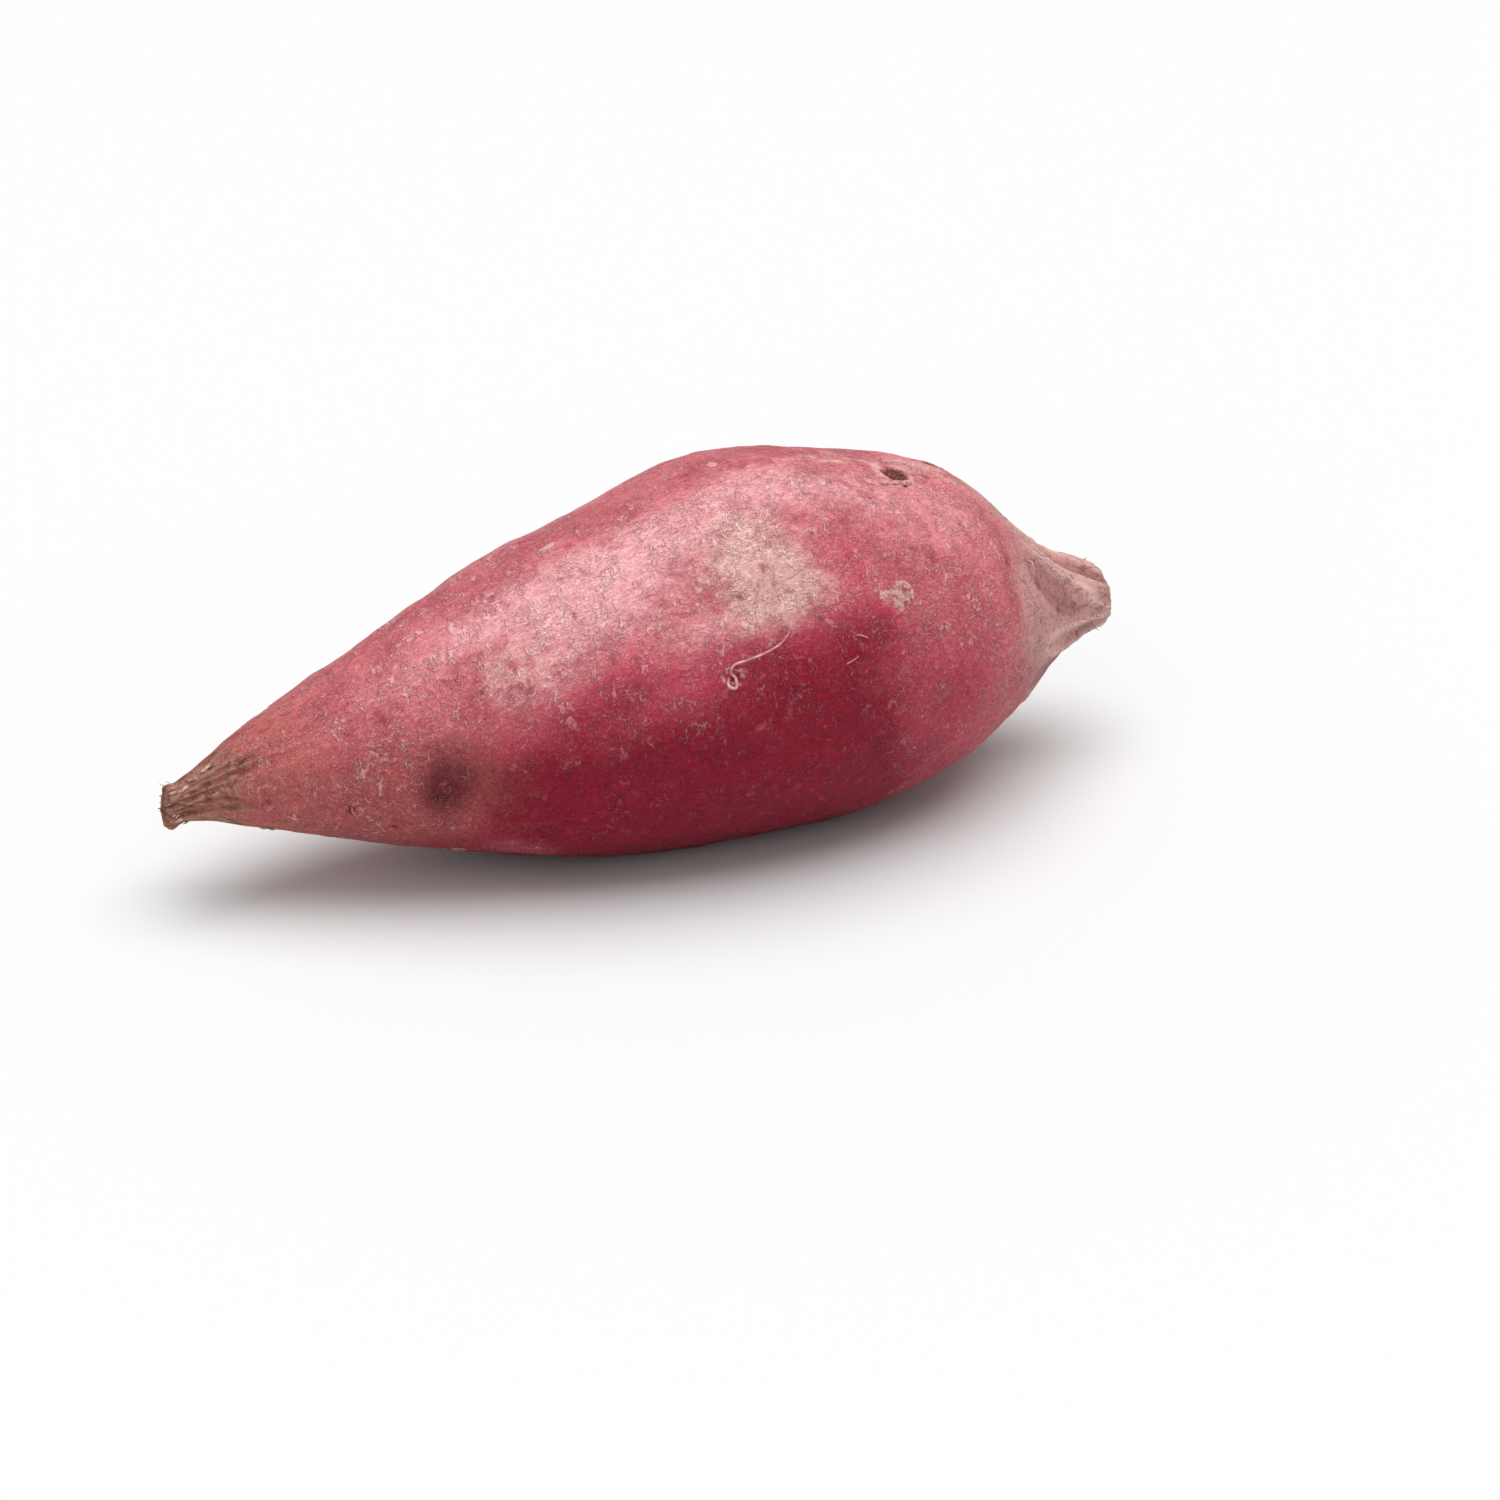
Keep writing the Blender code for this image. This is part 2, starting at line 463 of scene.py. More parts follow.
def lay_relief(g):
    """Raises and sinks the skin. Returns the masks that the colours follow."""
    lay_lumps(g)
    crest, fold = lay_creases(g)
    scar, rim = lay_scars(g)
    scab = lay_scabs(g)
    lay_folds(g)
    pits = lay_small_marks(g, rim)
    fray_ends(g)
    return {
        "bloom_and_highlight": g.patches(BLOOM_AND_HIGHLIGHT),
        "grey": g.patches(GREY_PATCH),
        # crimson skin, with painted shade on the low front side
        "crimson_and_shade": g.patches(CRIMSON_AND_SHADE_SPOTS) + low_side_crimson_and_shade(g),
        "bruise": g.patches(BRUISE),
        "dusty": ease(-g.x, 52.0, 82.0),
        "dull": g.patches(DULL_RED),
        "cork": ease(-g.x + 5.0 * g.creases(3.0, 60.0, 57.0), 73.0, 89.0),
        "ash": ease(g.x + 9.0 * g.creases(2.4, 60.0, 51.0), 53.0, 71.0),
        "tail_cork": ease(g.x, 74.0, 90.0),
        "scar": scar,
        "rim": rim,
        "scab": scab,
        "pits": pits,
        "torn": np.zeros(g.x.shape),
        "crest": crest,
        "fold": fold,
    }


# ================================================================ the ends
def end_face(rim, middle, rows, bulge, torn, seed):
    """Rows that close an end, from its rim to its middle, bulging along +X and roughly torn."""
    faces = []
    for k in range(1, rows):
        share = 1.0 - k / rows
        row = middle + (rim - middle) * share
        row[:, 0] += bulge * (1.0 - share**2)
        rough = swell(row, (9.0, 0.8, 0.8), seed) + 0.5 * swell(row, (9.0, 0.35, 0.35), seed + 3)
        row[:, 0] += torn * rough * (1.0 - share**6)
        faces.append(row)
    return np.array(faces)


def grid_mesh(name, rows, masks, first_pole, last_pole, pole_masks):
    """A closed skin from rows of points, with a pole at each end, its masks and its map."""
    count, around = rows.shape[:2]
    points = [first_pole, *rows.reshape(-1, 3), last_pole]
    last = len(points) - 1
    faces, maps = [], []
    length = np.linalg.norm(np.diff(rows.mean(1), axis=0), axis=1)
    girth = np.linalg.norm(rows - rows.mean(1)[:, None], axis=2).mean(1)
    run = np.concatenate([[0.0], np.cumsum(np.hypot(length, np.diff(girth)))])
    height = 0.01 + 0.98 * run / run[-1]
    for i in range(count - 1):
        a, b = 1 + i * around, 1 + (i + 1) * around
        for j in range(around):
            k = (j + 1) % around
            faces.append((a + j, a + k, b + k, b + j))
            left, right = j / around, (j + 1) / around
            here, ahead = height[i], height[i + 1]
            maps += [(left, here), (right, here), (right, ahead), (left, ahead)]
    for j in range(around):
        k = (j + 1) % around
        left, right = j / around, (j + 1) / around
        faces.append((0, 1 + k, 1 + j))
        maps += [((left + right) / 2, 0.0), (right, height[0]), (left, height[0])]
        b = 1 + (count - 1) * around
        faces.append((last, b + j, b + k))
        maps += [((left + right) / 2, 1.0), (left, height[-1]), (right, height[-1])]
    mesh = bpy.data.meshes.new(name)
    mesh.from_pydata([tuple(p * MM) for p in points], [], faces)
    layer = mesh.uv_layers.new(name="OFBake")
    layer.uv.foreach_set("vector", np.array(maps, np.float32).ravel())
    for mask, values in masks.items():
        attribute = mesh.attributes.new(mask, "FLOAT", "POINT")
        start, end = pole_masks.get(mask, (values[0].mean(), values[-1].mean()))
        full = np.concatenate([[start], values.ravel(), [end]])
        attribute.data.foreach_set("value", full.astype(np.float32))
    mesh.polygons.foreach_set("use_smooth", [True] * len(mesh.polygons))
    mesh.update()
    return mesh


def faces_out(mesh):
    """Turns every face outward."""
    bm = bmesh.new()
    bm.from_mesh(mesh)
    bmesh.ops.recalc_face_normals(bm, faces=bm.faces)
    bm.to_mesh(mesh)
    bm.free()


def make_skin():
    """The root's skin, and the middle of each ring of the form under it."""
    tree, middles = smoothed(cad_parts["sweet_potato"])
    low, high = (corner.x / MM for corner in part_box("sweet_potato"))
    x = row_places(low + STUB_INSET, high - TAIL_INSET)
    angles = np.radians(SEAM + 360.0 * np.arange(AROUND) / AROUND)
    places, middle = felt(tree, middles, x, angles)
    ground = Ground(places, middle, angles)
    masks = lay_relief(ground)
    places = places + outward(places, middle) * ground.height[..., None]
    # the torn edge runs unevenly round the stub
    places[..., 0] += 0.8 * ease(-ground.x, 90.5, 92.5) * ground.creases(2.5, 5.0, 61.0)

    stub = end_face(places[0], places[0].mean(0), STUB_FACE_ROWS, bulge=-0.7, torn=0.45, seed=71.0)[::-1]
    tail = end_face(places[-1], places[-1].mean(0), TAIL_FACE_ROWS, bulge=1.5, torn=0.30, seed=81.0)
    rows = np.concatenate([stub, places, tail])
    rows[..., 2] = np.maximum(rows[..., 2], 0.0)
    full = {}
    for mask, values in masks.items():
        start = np.broadcast_to(values[:1], stub.shape[:2])
        end = np.broadcast_to(values[-1:], tail.shape[:2])
        if mask == "torn":
            start = np.ones(stub.shape[:2])
        full[mask] = np.concatenate([start, values, end])
    first = rows[0].mean(0) + (0.1, 0.0, 0.0)
    last = rows[-1].mean(0) + (0.02, 0.0, 0.0)
    mesh = grid_mesh("potato_skin", rows, full, first, last, {"torn": (1.0, 0.0)})
    faces_out(mesh)
    skin = bpy.data.objects.new("potato_skin", mesh)
    bpy.context.scene.collection.objects.link(skin)
    return skin, middles


# ================================================================ rootlets and torn fibres
def smooth_path(stops, steps):
    """Points along a smooth line through the stops."""
    stops = [Vector(s) for s in stops]
    stops = [2 * stops[0] - stops[1], *stops, 2 * stops[-1] - stops[-2]]
    path = []
    for i in range(1, len(stops) - 2):
        a, b, c, d = stops[i - 1 : i + 3]
        for k in range(steps):
            t = k / steps
            path.append(
                0.5
                * (
                    2 * b
                    + (c - a) * t
                    + (2 * a - 5 * b + 4 * c - d) * t**2
                    + (3 * b - a - 3 * c + d) * t**3
                )
            )
    return [*path, stops[-2]]


def add_strand(bm, path, radius, tip, sides=8, flat=1.0):
    """A tapering strand along a path, closed at both ends. flat < 1 makes a ribbon of it."""
    rings = []
    across = (path[1] - path[0]).orthogonal().normalized()
    for i, p in enumerate(path):
        ahead = (path[min(i + 1, len(path) - 1)] - path[max(i - 1, 0)]).normalized()
        across = (across - ahead * across.dot(ahead)).normalized()
        up = ahead.cross(across)
        share = i / (len(path) - 1)
        r = radius + (tip - radius) * share**1.3
        ring = []
        for k in range(sides):
            turn = 2 * math.pi * k / sides
            ring.append(bm.verts.new(p + (across * math.cos(turn) + up * flat * math.sin(turn)) * r))
        rings.append(ring)
    for a, b in zip(rings, rings[1:]):
        for k in range(sides):
            m = (k + 1) % sides
            bm.faces.new((a[k], a[m], b[m], b[k]))
    bm.faces.new(rings[0][::-1])
    bm.faces.new(rings[-1])


def finish_strands(name, bm):
    """One piece from all the strands laid so far."""
    bmesh.ops.recalc_face_normals(bm, faces=bm.faces)
    for face in bm.faces:
        face.smooth = True
    mesh = bpy.data.meshes.new(name)
    bm.to_mesh(mesh)
    bm.free()
    piece = bpy.data.objects.new(name, mesh)
    bpy.context.scene.collection.objects.link(piece)
    return piece


class Touch:
    """Finds points on the finished skin by distance along the root and angle round it."""

    def __init__(self, skin, middles):
        self.tree = BVHTree.FromObject(skin, bpy.context.evaluated_depsgraph_get())
        self.middles = middles

    def at(self, x, angle, lift=0.0):
        """A point this far above the skin (all in mm), in metres, and the skin's normal."""
        y, z = (np.interp(x, self.middles[:, 0], self.middles[:, k]) for k in (1, 2))
        way = Vector((0.0, math.cos(math.radians(angle)), math.sin(math.radians(angle))))
        place, normal = self.tree.ray_cast(Vector((x, y, z)) * MM, way)[:2]
        return place + normal * lift * MM, normal


# Rootlets: root radius, tip radius, then stops (distance along, angle, lift), all in mm and degrees.
ROOTLETS = (
    (0.29, 0.11, ((-2.2, 163.5, -0.3), (-2.8, 165.2, 0.5), (-2.0, 166.6, 0.7), (-1.3, 164.6, 0.55),
                  (-2.2, 162.2, 0.45), (-1.2, 160.3, 0.6), (1.5, 160.0, 0.9), (5.0, 159.2, 0.95),
                  (7.8, 157.4, 0.75), (9.4, 154.2, 0.6), (10.0, 151.0, 0.9))),
    (0.24, 0.10, ((65.6, 136.0, -0.2), (65.2, 138.5, 0.8), (64.8, 142.0, 1.0), (65.0, 145.5, 0.5))),
    (0.17, 0.07, ((21.2, 160.2, -0.2), (22.2, 160.6, 0.35), (23.2, 161.4, 0.2))),
    (0.17, 0.07, ((18.6, 168.0, -0.2), (19.6, 167.2, 0.35), (20.9, 166.2, 0.2))),
    (0.22, 0.09, ((-63.9, 191.0, -0.2), (-63.4, 194.0, 0.5), (-63.0, 197.0, 0.3))),
    (0.24, 0.10, ((-30.0, 25.0, -0.2), (-31.0, 27.5, 0.5), (-34.0, 28.0, 0.6), (-37.5, 25.0, 0.4),
                  (-39.0, 20.0, 0.3))),
    (0.26, 0.10, ((18.0, 8.0, -0.2), (19.5, 6.0, 0.8), (23.0, 5.0, 1.0), (27.0, 7.5, 0.6))),
    (0.22, 0.09, ((52.0, -30.0, -0.2), (53.5, -32.0, 0.8), (56.0, -31.0, 0.6))),
    (0.22, 0.09, ((44.0, 262.0, -0.2), (46.0, 259.0, 0.8), (49.0, 258.0, 0.6))),
    (0.24, 0.09, ((-58.0, 285.0, -0.2), (-60.0, 288.0, 0.8), (-63.5, 290.0, 0.7), (-66.0, 296.0, 0.5))),
    (0.22, 0.09, ((-70.0, 30.0, -0.2), (-72.0, 32.0, 0.4), (-74.0, 36.0, 0.3))),
    (0.26, 0.12, ((82.0, 40.0, -0.2), (83.5, 38.0, 0.5), (85.0, 30.0, 0.8), (84.6, 20.0, 0.6))),
)
# Flakes of skin lifting along the top of the stub and under its cone: distance along, angle.
FLAKES = (
    (-86.5, 112),
    (-88.0, 118),
    (-84.6, 108),
    (-89.4, 126),
    (-83.2, 101),
    (-87.2, 96),
    (-76.0, 226),
    (-74.6, 228),
    (-90.0, 200),
    (-88.6, 240),
)
FRAYED_FIBRES = 26
TAIL_FIBRES = 8


def make_rootlets(touch):
    """Thin rootlets left on the skin."""
    bm = bmesh.new()
    for root, tip, stops in ROOTLETS:
        path = smooth_path([touch.at(*stop)[0] for stop in stops], 6)
        add_strand(bm, path, root * MM, tip * MM)
    return finish_strands("rootlets", bm)


def make_fibres(touch):
    """Frayed fibres and curled flakes at the torn end, and a few hairs on the tail."""
    dice = random.Random(97)
    bm = bmesh.new()
    for _ in range(FRAYED_FIBRES):
        angle = dice.uniform(0, 360)
        x = -91.2 + dice.uniform(-0.5, 2.6)
        place, normal = touch.at(x, angle, -0.12)
        length = dice.uniform(0.6, 1.6) * MM
        lean = dice.uniform(0.0, 0.7)
        side = Vector((0.0, dice.gauss(0, 0.35), dice.gauss(0, 0.35)))
        way = (Vector((-1.0, 0.0, 0.0)) + normal * lean + side).normalized()
        bend = normal * dice.uniform(-0.3, 0.4) * length
        stops = [place, place + way * length * 0.5 + bend * 0.3, place + way * length + bend]
        thick = dice.uniform(0.08, 0.20) * MM
        flat = dice.uniform(0.4, 1.0)
        add_strand(bm, smooth_path(stops, 3), thick, thick * 0.35, sides=6, flat=flat)
    for x, angle in FLAKES:
        place, normal = touch.at(x, angle, -0.1)
        length = dice.uniform(1.2, 2.4) * MM
        ahead = (touch.at(x - 1.5, angle + dice.gauss(0, 8))[0] - place).normalized()
        curled = place + ahead * length * 0.5 + normal * 0.35 * MM
        lifted = place + ahead * length + normal * dice.uniform(0.1, 0.6) * MM
        add_strand(bm, smooth_path([place, curled, lifted], 3), 0.42 * MM, 0.16 * MM, sides=8, flat=0.35)
    for _ in range(TAIL_FIBRES):
        angle, x = dice.uniform(0, 360), dice.uniform(86.0, 91.6)
        place, normal = touch.at(x, angle, -0.1)
        length = dice.uniform(0.5, 1.1) * MM
        way = (Vector((0.9, 0.0, 0.0)) + normal * dice.uniform(0.2, 1.0)).normalized()
        stops = [place, place + way * length * 0.6, place + way * length + normal * 0.2 * MM]
        add_strand(bm, smooth_path(stops, 3), 0.11 * MM, 0.05 * MM, sides=6)
    return finish_strands("torn_fibres", bm)


# ================================================================ finishes
class Wire:
    """A value inside a finish. Sums and products on it become Math nodes."""

    def __init__(self, finish, socket):
        self.finish = finish
        self.socket = socket

    def math(self, operation, *values):
        return self.finish.node("ShaderNodeMath", {"operation": operation}, dict(enumerate(values)))

    def __add__(self, other):
        return self.math("ADD", self, other)

    __radd__ = __add__

    def __sub__(self, other):
        return self.math("SUBTRACT", self, other)

    def __rsub__(self, other):
        return self.math("SUBTRACT", other, self)

    def __mul__(self, other):
        return self.math("MULTIPLY", self, other)

    __rmul__ = __mul__

    def __abs__(self):
        return self.math("ABSOLUTE", self)

    def clamped(self):
        """Held between 0 and 1."""
        return self.math("MAXIMUM", self.math("MINIMUM", self, 1.0), 0.0)

    def eased(self, low, high):
        """0 below low, 1 above high, and a soft step between them."""
        return self.finish.node(
            "ShaderNodeMapRange",
            {"interpolation_type": "SMOOTHSTEP"},
            {"Value": self, "From Min": low, "From Max": high},
        )


class Finish:
    """A material built up from nodes."""

    def __init__(self, name):
        self.material = bpy.data.materials.new(name)
        self.material.use_nodes = True
        self.tree = self.material.node_tree
        self.shader = self.tree.nodes["Principled BSDF"]
        place = self.node("ShaderNodeTexCoord", {}, {}, "Object")
        self.place = self.vector("SCALE", place, {"Scale": 1.0 / MM})  # in mm

    def node(self, kind, settings, values, output=0):
        """A node of any kind, with its settings and what goes into its sockets."""
        made = self.tree.nodes.new(kind)
        for name, value in settings.items():
            setattr(made, name, value)
        for name, value in values.items():
            self.feed(made.inputs[name], value)
        return Wire(self, made.outputs[output])

    def feed(self, socket, value):
        """Puts a wire, a colour or a number into a socket."""
        if isinstance(value, Wire):
            self.tree.links.new(value.socket, socket)
        elif isinstance(value, tuple) and socket.type == "RGBA":
            socket.default_value = (*value, 1.0)
        else:
            socket.default_value = value

    def vector(self, operation, a, values):
        """Vector arithmetic on a."""
        return self.node("ShaderNodeVectorMath", {"operation": operation}, {0: a, **values})

    def mask(self, name):
        """A mask painted on the skin."""
        return self.node("ShaderNodeAttribute", {"attribute_name": name}, {}, "Fac")

    def cloud(
        self, spacing, detail=2.0, roughness=0.5, distortion=0.0, stretch=(1.0, 1.0, 1.0), shift=0.0
    ):
        """Soft noise from 0 to 1; spacing is in mm and stretch draws it out along an axis."""
        scaled = self.vector("MULTIPLY", self.place, {1: tuple(1.0 / s for s in stretch)})
        moved = self.vector("ADD", scaled, {1: (shift, shift * 0.7, shift * 1.3)})
        return self.node(
            "ShaderNodeTexNoise",
            {"noise_dimensions": "3D"},
            {
                "Vector": moved,
                "Scale": 1.0 / spacing,
                "Detail": detail,
                "Roughness": roughness,
                "Distortion": distortion,
            },
        )

    def lines(self, spacing, width, distortion=0.0, stretch=(1.0, 1.0, 1.0), shift=0.0):
        """Thin wandering lines, 1 on the line and 0 away from it."""
        level = abs(self.cloud(spacing, 1.0, 0.5, distortion, stretch, shift) - 0.5)
        return 1.0 - level.eased(0.0, width)

    def mix(self, share, a, b, blend="MIX"):
        """Colour a with a share of colour b laid over it."""
        return self.node(
            "ShaderNodeMix",
            {"data_type": "RGBA", "blend_type": blend, "clamp_factor": True},
            {0: share, 6: a, 7: b},
            2,
        )

    def wear(self, colour, roughness, relief, depth):
        """Puts the finish on the shader: its colour, roughness and relief in mm."""
        self.feed(self.shader.inputs["Base Color"], colour)
        self.feed(self.shader.inputs["Roughness"], roughness)
        bumps = {"Strength": 1.0, "Distance": depth * MM, "Height": relief}
        bump = self.node("ShaderNodeBump", {}, bumps)
        self.feed(self.shader.inputs["Normal"], bump)
        return self.material


def skin_finish():
    """Rose skin with a pale bloom that also holds a painted highlight, crimson that also holds painted
    shade, bruises, corky ends, scabs and scars.
    """
    f = Finish("root_skin")
    patchy = f.cloud(11.0, 4.0, 0.6)
    mottle = f.cloud(3.2, 4.0, 0.6, 0.6, shift=9.0)
    grain = f.cloud(0.75, 3.0, 0.6, shift=4.0)
    specks = f.cloud(0.42, 2.0, 0.5, shift=17.0)
    drawn = f.cloud(1.1, 3.0, 0.6, 0.4, (9.0, 1.0, 1.0), 21.0)

    def edged(name, low, high, wander=0.5):
        """A painted patch, its edge broken up by the mottling."""
        broken = f.mask(name) + (mottle - 0.5) * wander + (patchy - 0.5) * wander
        return broken.eased(low, high)

    # broad patches of colour; the bloom holds a painted highlight and the crimson painted shade
    colour = f.mix(patchy.eased(0.35, 0.65) * 0.6 + 0.4, ROSE_DARK, ROSE)
    colour = f.mix(edged("dusty", 0.1, 1.0) * 0.85, colour, DUSTY_RED)
    # pale bloom, strongest where it stands in for a painted highlight on the upper front
    colour = f.mix(edged("bloom_and_highlight", 0.05, 1.0) * 0.90, colour, BLOOM_AND_HIGHLIGHT_PINK)
    colour = f.mix(edged("crimson_and_shade", 0.08, 0.50, 0.8), colour, CRIMSON_BRIGHT)
    crimson_and_shade = edged("crimson_and_shade", 0.28, 0.95, 0.5)
    # the deepest crimson where the mask is strong: crimson skin, and painted shade on the low front side
    colour = f.mix(crimson_and_shade, colour, CRIMSON_AND_SHADE_RED)
    colour = f.mix(edged("dull", 0.10, 0.90, 0.6) * 0.85, colour, DULL_BROWN)
    colour = f.mix(edged("grey", 0.20, 0.95, 0.9) * 0.80, colour, GREY_PINK)
    colour = f.mix(edged("bruise", 0.0, 1.3, 0.5) * 0.90, colour, BRUISE_PLUM)

    # mottling, short scuffs lying all ways, fine specks
    calm = 1.0 - (0.9 * f.mask("crimson_and_shade") + 0.8 * f.mask("bruise") + 0.4 * f.mask("dusty")).clamped()
    dashes = f.cloud(1.7, 3.0, 0.6, 1.2, shift=55.0)
    colour = f.mix(mottle.eased(0.50, 0.75) * 0.42, colour, LIFT, "DODGE")
    colour = f.mix(mottle.eased(0.48, 0.28) * 0.22 * calm, colour, ROSE_DARK)
    colour = f.mix(mottle.eased(0.50, 0.30) * 0.38, colour, SHADE, "MULTIPLY")
    colour = f.mix(dashes.eased(0.52, 0.68) * 0.42, colour, LIFT, "DODGE")
    colour = f.mix(dashes.eased(0.45, 0.32) * 0.22 * calm, colour, ROSE_DARK)
    combed = f.cloud(0.45, 3.0, 0.6, 1.4, (3.2, 1.0, 1.4), 63.0)
    colour = f.mix(combed.eased(0.50, 0.66) * 0.75, colour, LIFT, "DODGE")
    colour = f.mix(combed.eased(0.48, 0.34) * 0.55, colour, SHADE, "MULTIPLY")
    patches = f.cloud(7.0, 2.0, 0.5, shift=31.0).eased(0.40, 0.58)
    scuffs = f.lines(2.2, 0.050, 1.6, shift=2.0) * patches * grain.eased(0.42, 0.56)
    strokes = f.lines(1.4, 0.070, 1.0, (1.0, 2.0, 2.0), 12.0)
    strokes = strokes * f.cloud(3.0, 2.0, shift=44.0).eased(0.50, 0.62)
    scratch = (scuffs + strokes).clamped()
    colour = f.mix(scratch * 0.60, colour, LIFT, "DODGE")
    colour = f.mix(scratch * (0.06 + 0.36 * calm), colour, SCUFF_PALE)
    colour = f.mix(specks.eased(0.58, 0.70) * 0.34 * calm, colour, SCUFF_PALE)
    colour = f.mix(specks.eased(0.38, 0.28) * 0.25 * calm, colour, ROSE_DARK)

    # corky ends with drawn-out fibres
    cork = edged("cork", 0.25, 0.8, 0.5)
    ash = edged("ash", 0.15, 0.85, 0.9)
    tail_cork = edged("tail_cork", 0.3, 0.9, 0.5)
    crest, fold = f.mask("crest"), f.mask("fold")
    colour = f.mix(ash * 0.85, colour, TAIL_ASH)
    colour = f.mix(tail_cork * 0.6, colour, TAIL_CORK)
    colour = f.mix(fold.eased(0.60, 0.95) * ash * 0.60, colour, TAIL_PALE)
    colour = f.mix(fold.eased(0.42, 0.10) * ash * 0.65, colour, TAIL_DARK)
    colour = f.mix(cork * 0.92, colour, CORK_BROWN)
    fibrous = (cork + ash * 0.7 + f.mask("dusty") * 0.35).clamped()
    colour = f.mix(crest.eased(0.62, 1.0) * fibrous * 0.55, colour, FIBRE_TAN)
    colour = f.mix(crest.eased(0.45, 0.05) * fibrous * 0.70, colour, CORK_DARK)
    colour = f.mix(drawn.eased(0.52, 0.66) * fibrous * 0.60, colour, FIBRE_TAN)
    colour = f.mix(drawn.eased(0.48, 0.32) * fibrous * 0.70, colour, CORK_DARK)

    # scabs, scars and pits
    scab = (f.mask("scab") + (dashes - 0.5) * 2.0 + (grain - 0.5) * 1.2).eased(0.30, 0.95)
    colour = f.mix(scab * 0.70, colour, f.mix(dashes.eased(0.36, 0.56), DUSTY_RED, SCAB_BEIGE))
    rim = (f.mask("rim") + (grain - 0.5) * 0.8).eased(0.40, 0.95)
    colour = f.mix(rim * 0.50, colour, SCUFF_PALE)
    pits = f.mask("pits").eased(0.25, 0.9)
    colour = f.mix(pits * 0.65, colour, ROSE_DARK)
    scar = (f.mask("scar") + (grain - 0.5) * 1.0 + (dashes - 0.5) * 0.6).eased(0.20, 0.80)
    colour = f.mix(scar * 0.95, colour, f.mix(specks.eased(0.40, 0.62), SCAR_BROWN, SCAR_RUST))
    torn = f.mask("torn")
    colour = f.mix(torn * 0.8, colour, f.mix(grain.eased(0.4, 0.6), CORK_BROWN, FIBRE_TAN))

    # roughness and fine relief
    rough = 0.44 + 0.16 * (mottle - 0.5) + 0.10 * grain
    rough = rough + 0.22 * (cork + scab + ash * 0.5).clamped() - 0.05 * crimson_and_shade + 0.1 * f.mask("grey")
    relief = (
        0.30 * mottle
        + 0.30 * dashes
        + 0.16 * grain
        + 0.12 * combed
        + 0.06 * specks
        + 0.42 * scratch
        + 0.80 * drawn * fibrous
        + 0.50 * (scab + scar) * grain
    )
    f.feed(f.shader.inputs["Specular IOR Level"], SKIN_SHEEN)
    return f.wear(colour, rough, relief, SKIN_RELIEF)


def strand_finish(name, base, pale):
    """Dry fibre, blotched between two colours and darker in its grooves."""
    f = Finish(name)
    drawn = f.cloud(0.5, 3.0, 0.6, 0.3, (6.0, 1.0, 1.0))
    blotch = f.cloud(1.8, 2.0, shift=5.0)
    colour = f.mix(blotch.eased(0.35, 0.7), base, pale)
    colour = f.mix(drawn.eased(0.45, 0.3) * 0.5, colour, tuple(0.45 * c for c in base))
    rough = 0.55 + 0.2 * drawn
    return f.wear(colour, rough, drawn, STRAND_RELIEF)


# ================================================================ put together
skin, middles = make_skin()
touch = Touch(skin, middles)
rootlets = make_rootlets(touch)
fibres = make_fibres(touch)
skin.data.materials.append(skin_finish())
rootlets.data.materials.append(strand_finish("rootlet_skin", ROOTLET_RED, ROOTLET_PALE))
fibres.data.materials.append(strand_finish("torn_fibre", CORK_BROWN, FIBRE_PALE))
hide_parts("sweet_potato")
for piece in (skin, rootlets, fibres):
    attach(piece, "root")


# ================================================================ the studio
FLOOR_REACH = 6.0  # from the floor's middle to its edge, in metres
FLOOR_DROP = 0.05  # how far it lies below the flat spot, in mm
FLOOR_GREY = (0.70, 0.70, 0.70)
FLOOR_ROUGHNESS = 0.9
FLOOR_SHEEN = 0.1
FILM_WIDTH = 36.0  # mm


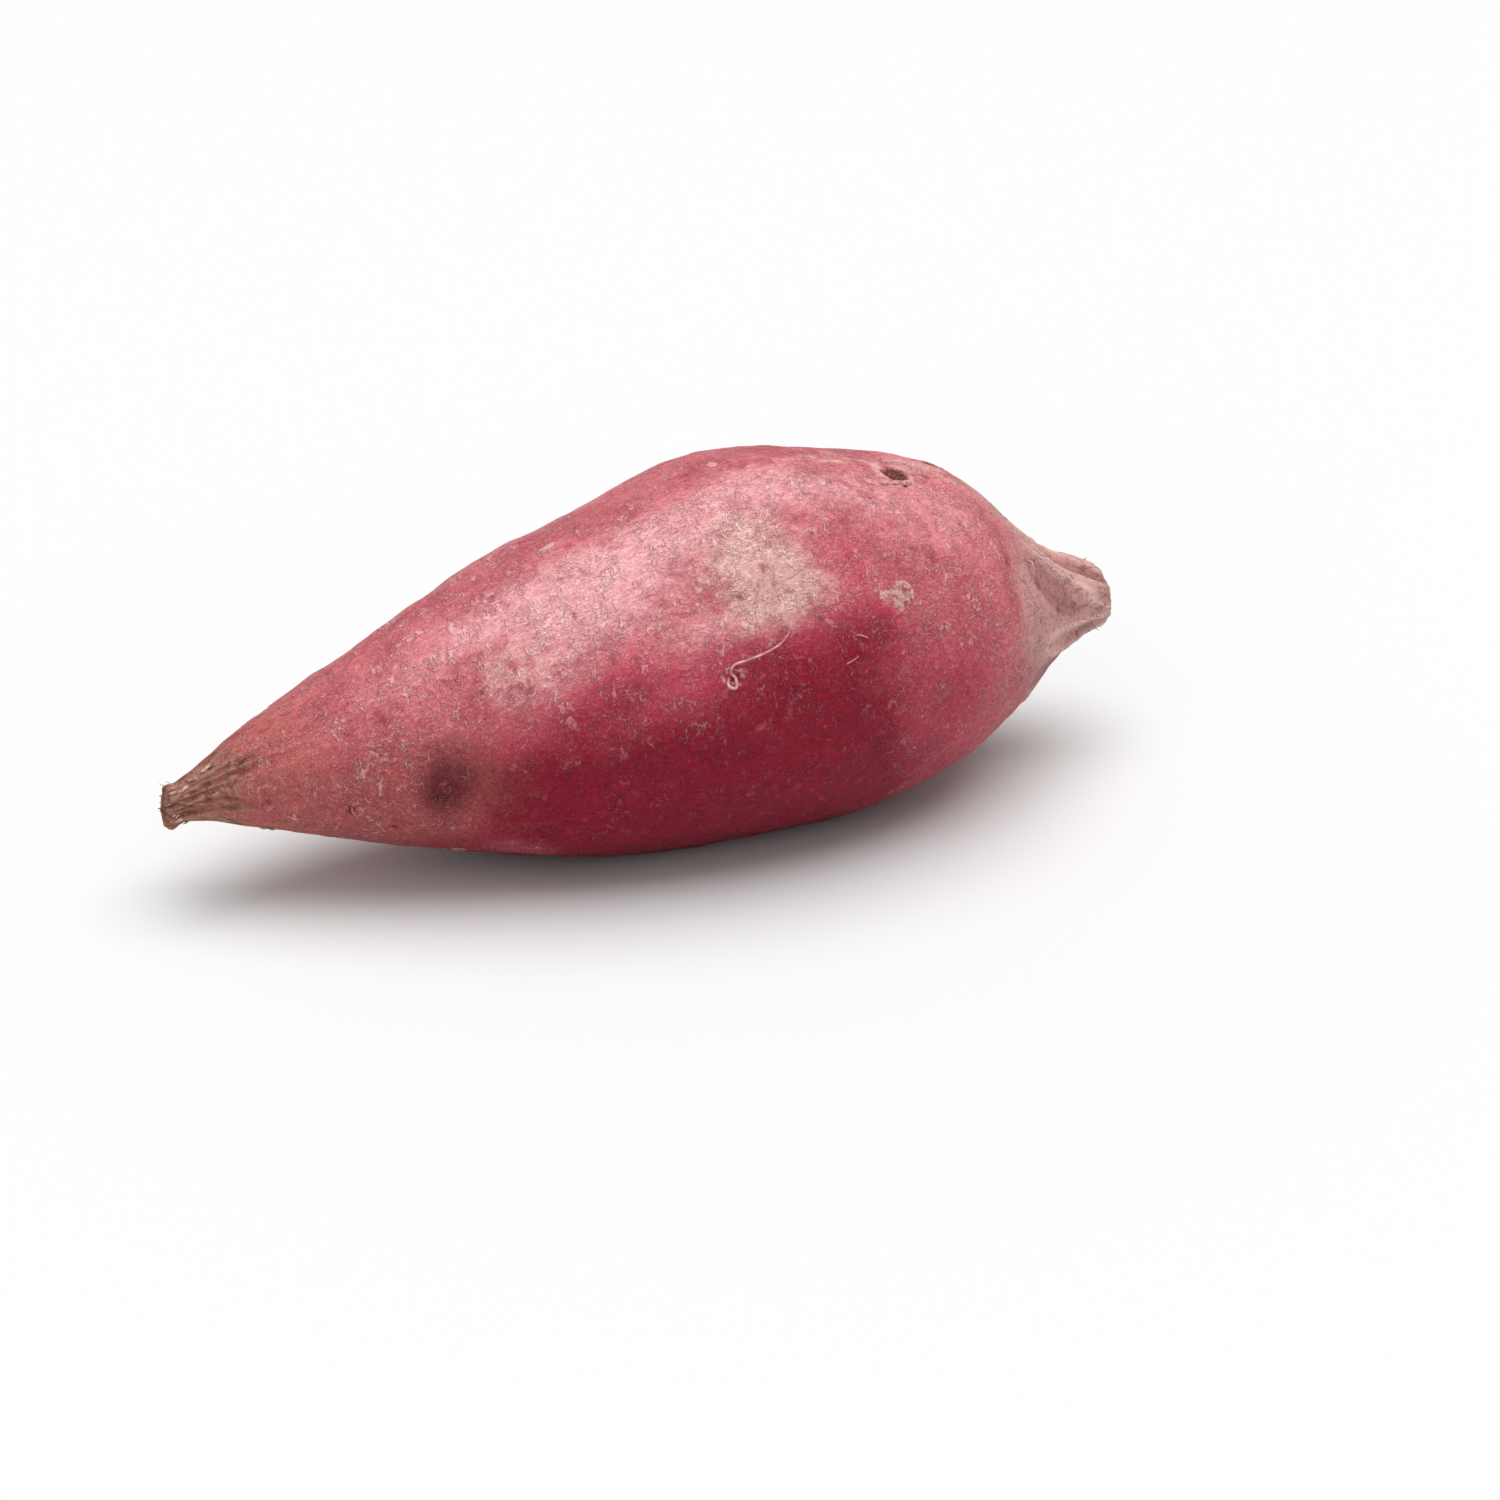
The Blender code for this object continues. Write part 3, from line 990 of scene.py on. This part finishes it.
def make_floor():
    bm = bmesh.new()
    bmesh.ops.create_grid(bm, x_segments=1, y_segments=1, size=FLOOR_REACH)
    mesh = bpy.data.meshes.new("floor")
    bm.to_mesh(mesh)
    bm.free()
    floor = bpy.data.objects.new("floor", mesh)
    floor.location.z = -FLOOR_DROP * MM
    bpy.context.scene.collection.objects.link(floor)
    f = Finish("pale_floor")
    f.feed(f.shader.inputs["Base Color"], FLOOR_GREY)
    f.feed(f.shader.inputs["Roughness"], FLOOR_ROUGHNESS)
    f.feed(f.shader.inputs["Specular IOR Level"], FLOOR_SHEEN)
    mesh.materials.append(f.material)


def soft_light(name, side, strength, spread):
    """An even light from one side, as soft as a sheet of diffuser that many degrees across."""
    lamp = bpy.data.lights.new(name, "SUN")
    lamp.energy = strength
    lamp.angle = math.radians(spread)
    light = bpy.data.objects.new(name, lamp)
    light.rotation_euler = (-Vector(side)).to_track_quat("-Z", "Y").to_euler()
    bpy.context.scene.collection.objects.link(light)


def surround(strength):
    """Plain white light from all round."""
    world = bpy.data.worlds.new("studio")
    world.use_nodes = True
    back = world.node_tree.nodes["Background"]
    back.inputs["Color"].default_value = (1.0, 1.0, 1.0, 1.0)
    back.inputs["Strength"].default_value = strength
    bpy.context.scene.world = world


def make_camera(aim, azimuth, elevation, distance, lens):
    """A camera aimed at a point, in metres and degrees; azimuth 0 looks at the root's front."""
    a, e = math.radians(azimuth), math.radians(elevation)
    back = Vector((math.sin(a) * math.cos(e), -math.cos(a) * math.cos(e), math.sin(e)))
    data = bpy.data.cameras.new("camera")
    data.lens = lens
    data.sensor_width = FILM_WIDTH
    data.clip_start = 0.01
    camera = bpy.data.objects.new("camera", data)
    camera.location = Vector(aim) + back * distance
    camera.rotation_euler = (-back).to_track_quat("-Z", "Y").to_euler()
    bpy.context.scene.collection.objects.link(camera)
    bpy.context.scene.camera = camera


make_floor()
soft_light("overhead", side=(0.16, 0.02, 1.0), strength=2.90, spread=66.0)
soft_light("front_left", side=(-0.8, -0.9, 0.9), strength=0.50, spread=60.0)
surround(strength=0.42)
make_camera(
    aim=(0.02571, 0.02279, -0.001), azimuth=-24.0, elevation=25.0, distance=0.7068, lens=90.0
)
bpy.context.scene.view_settings.view_transform = "Standard"
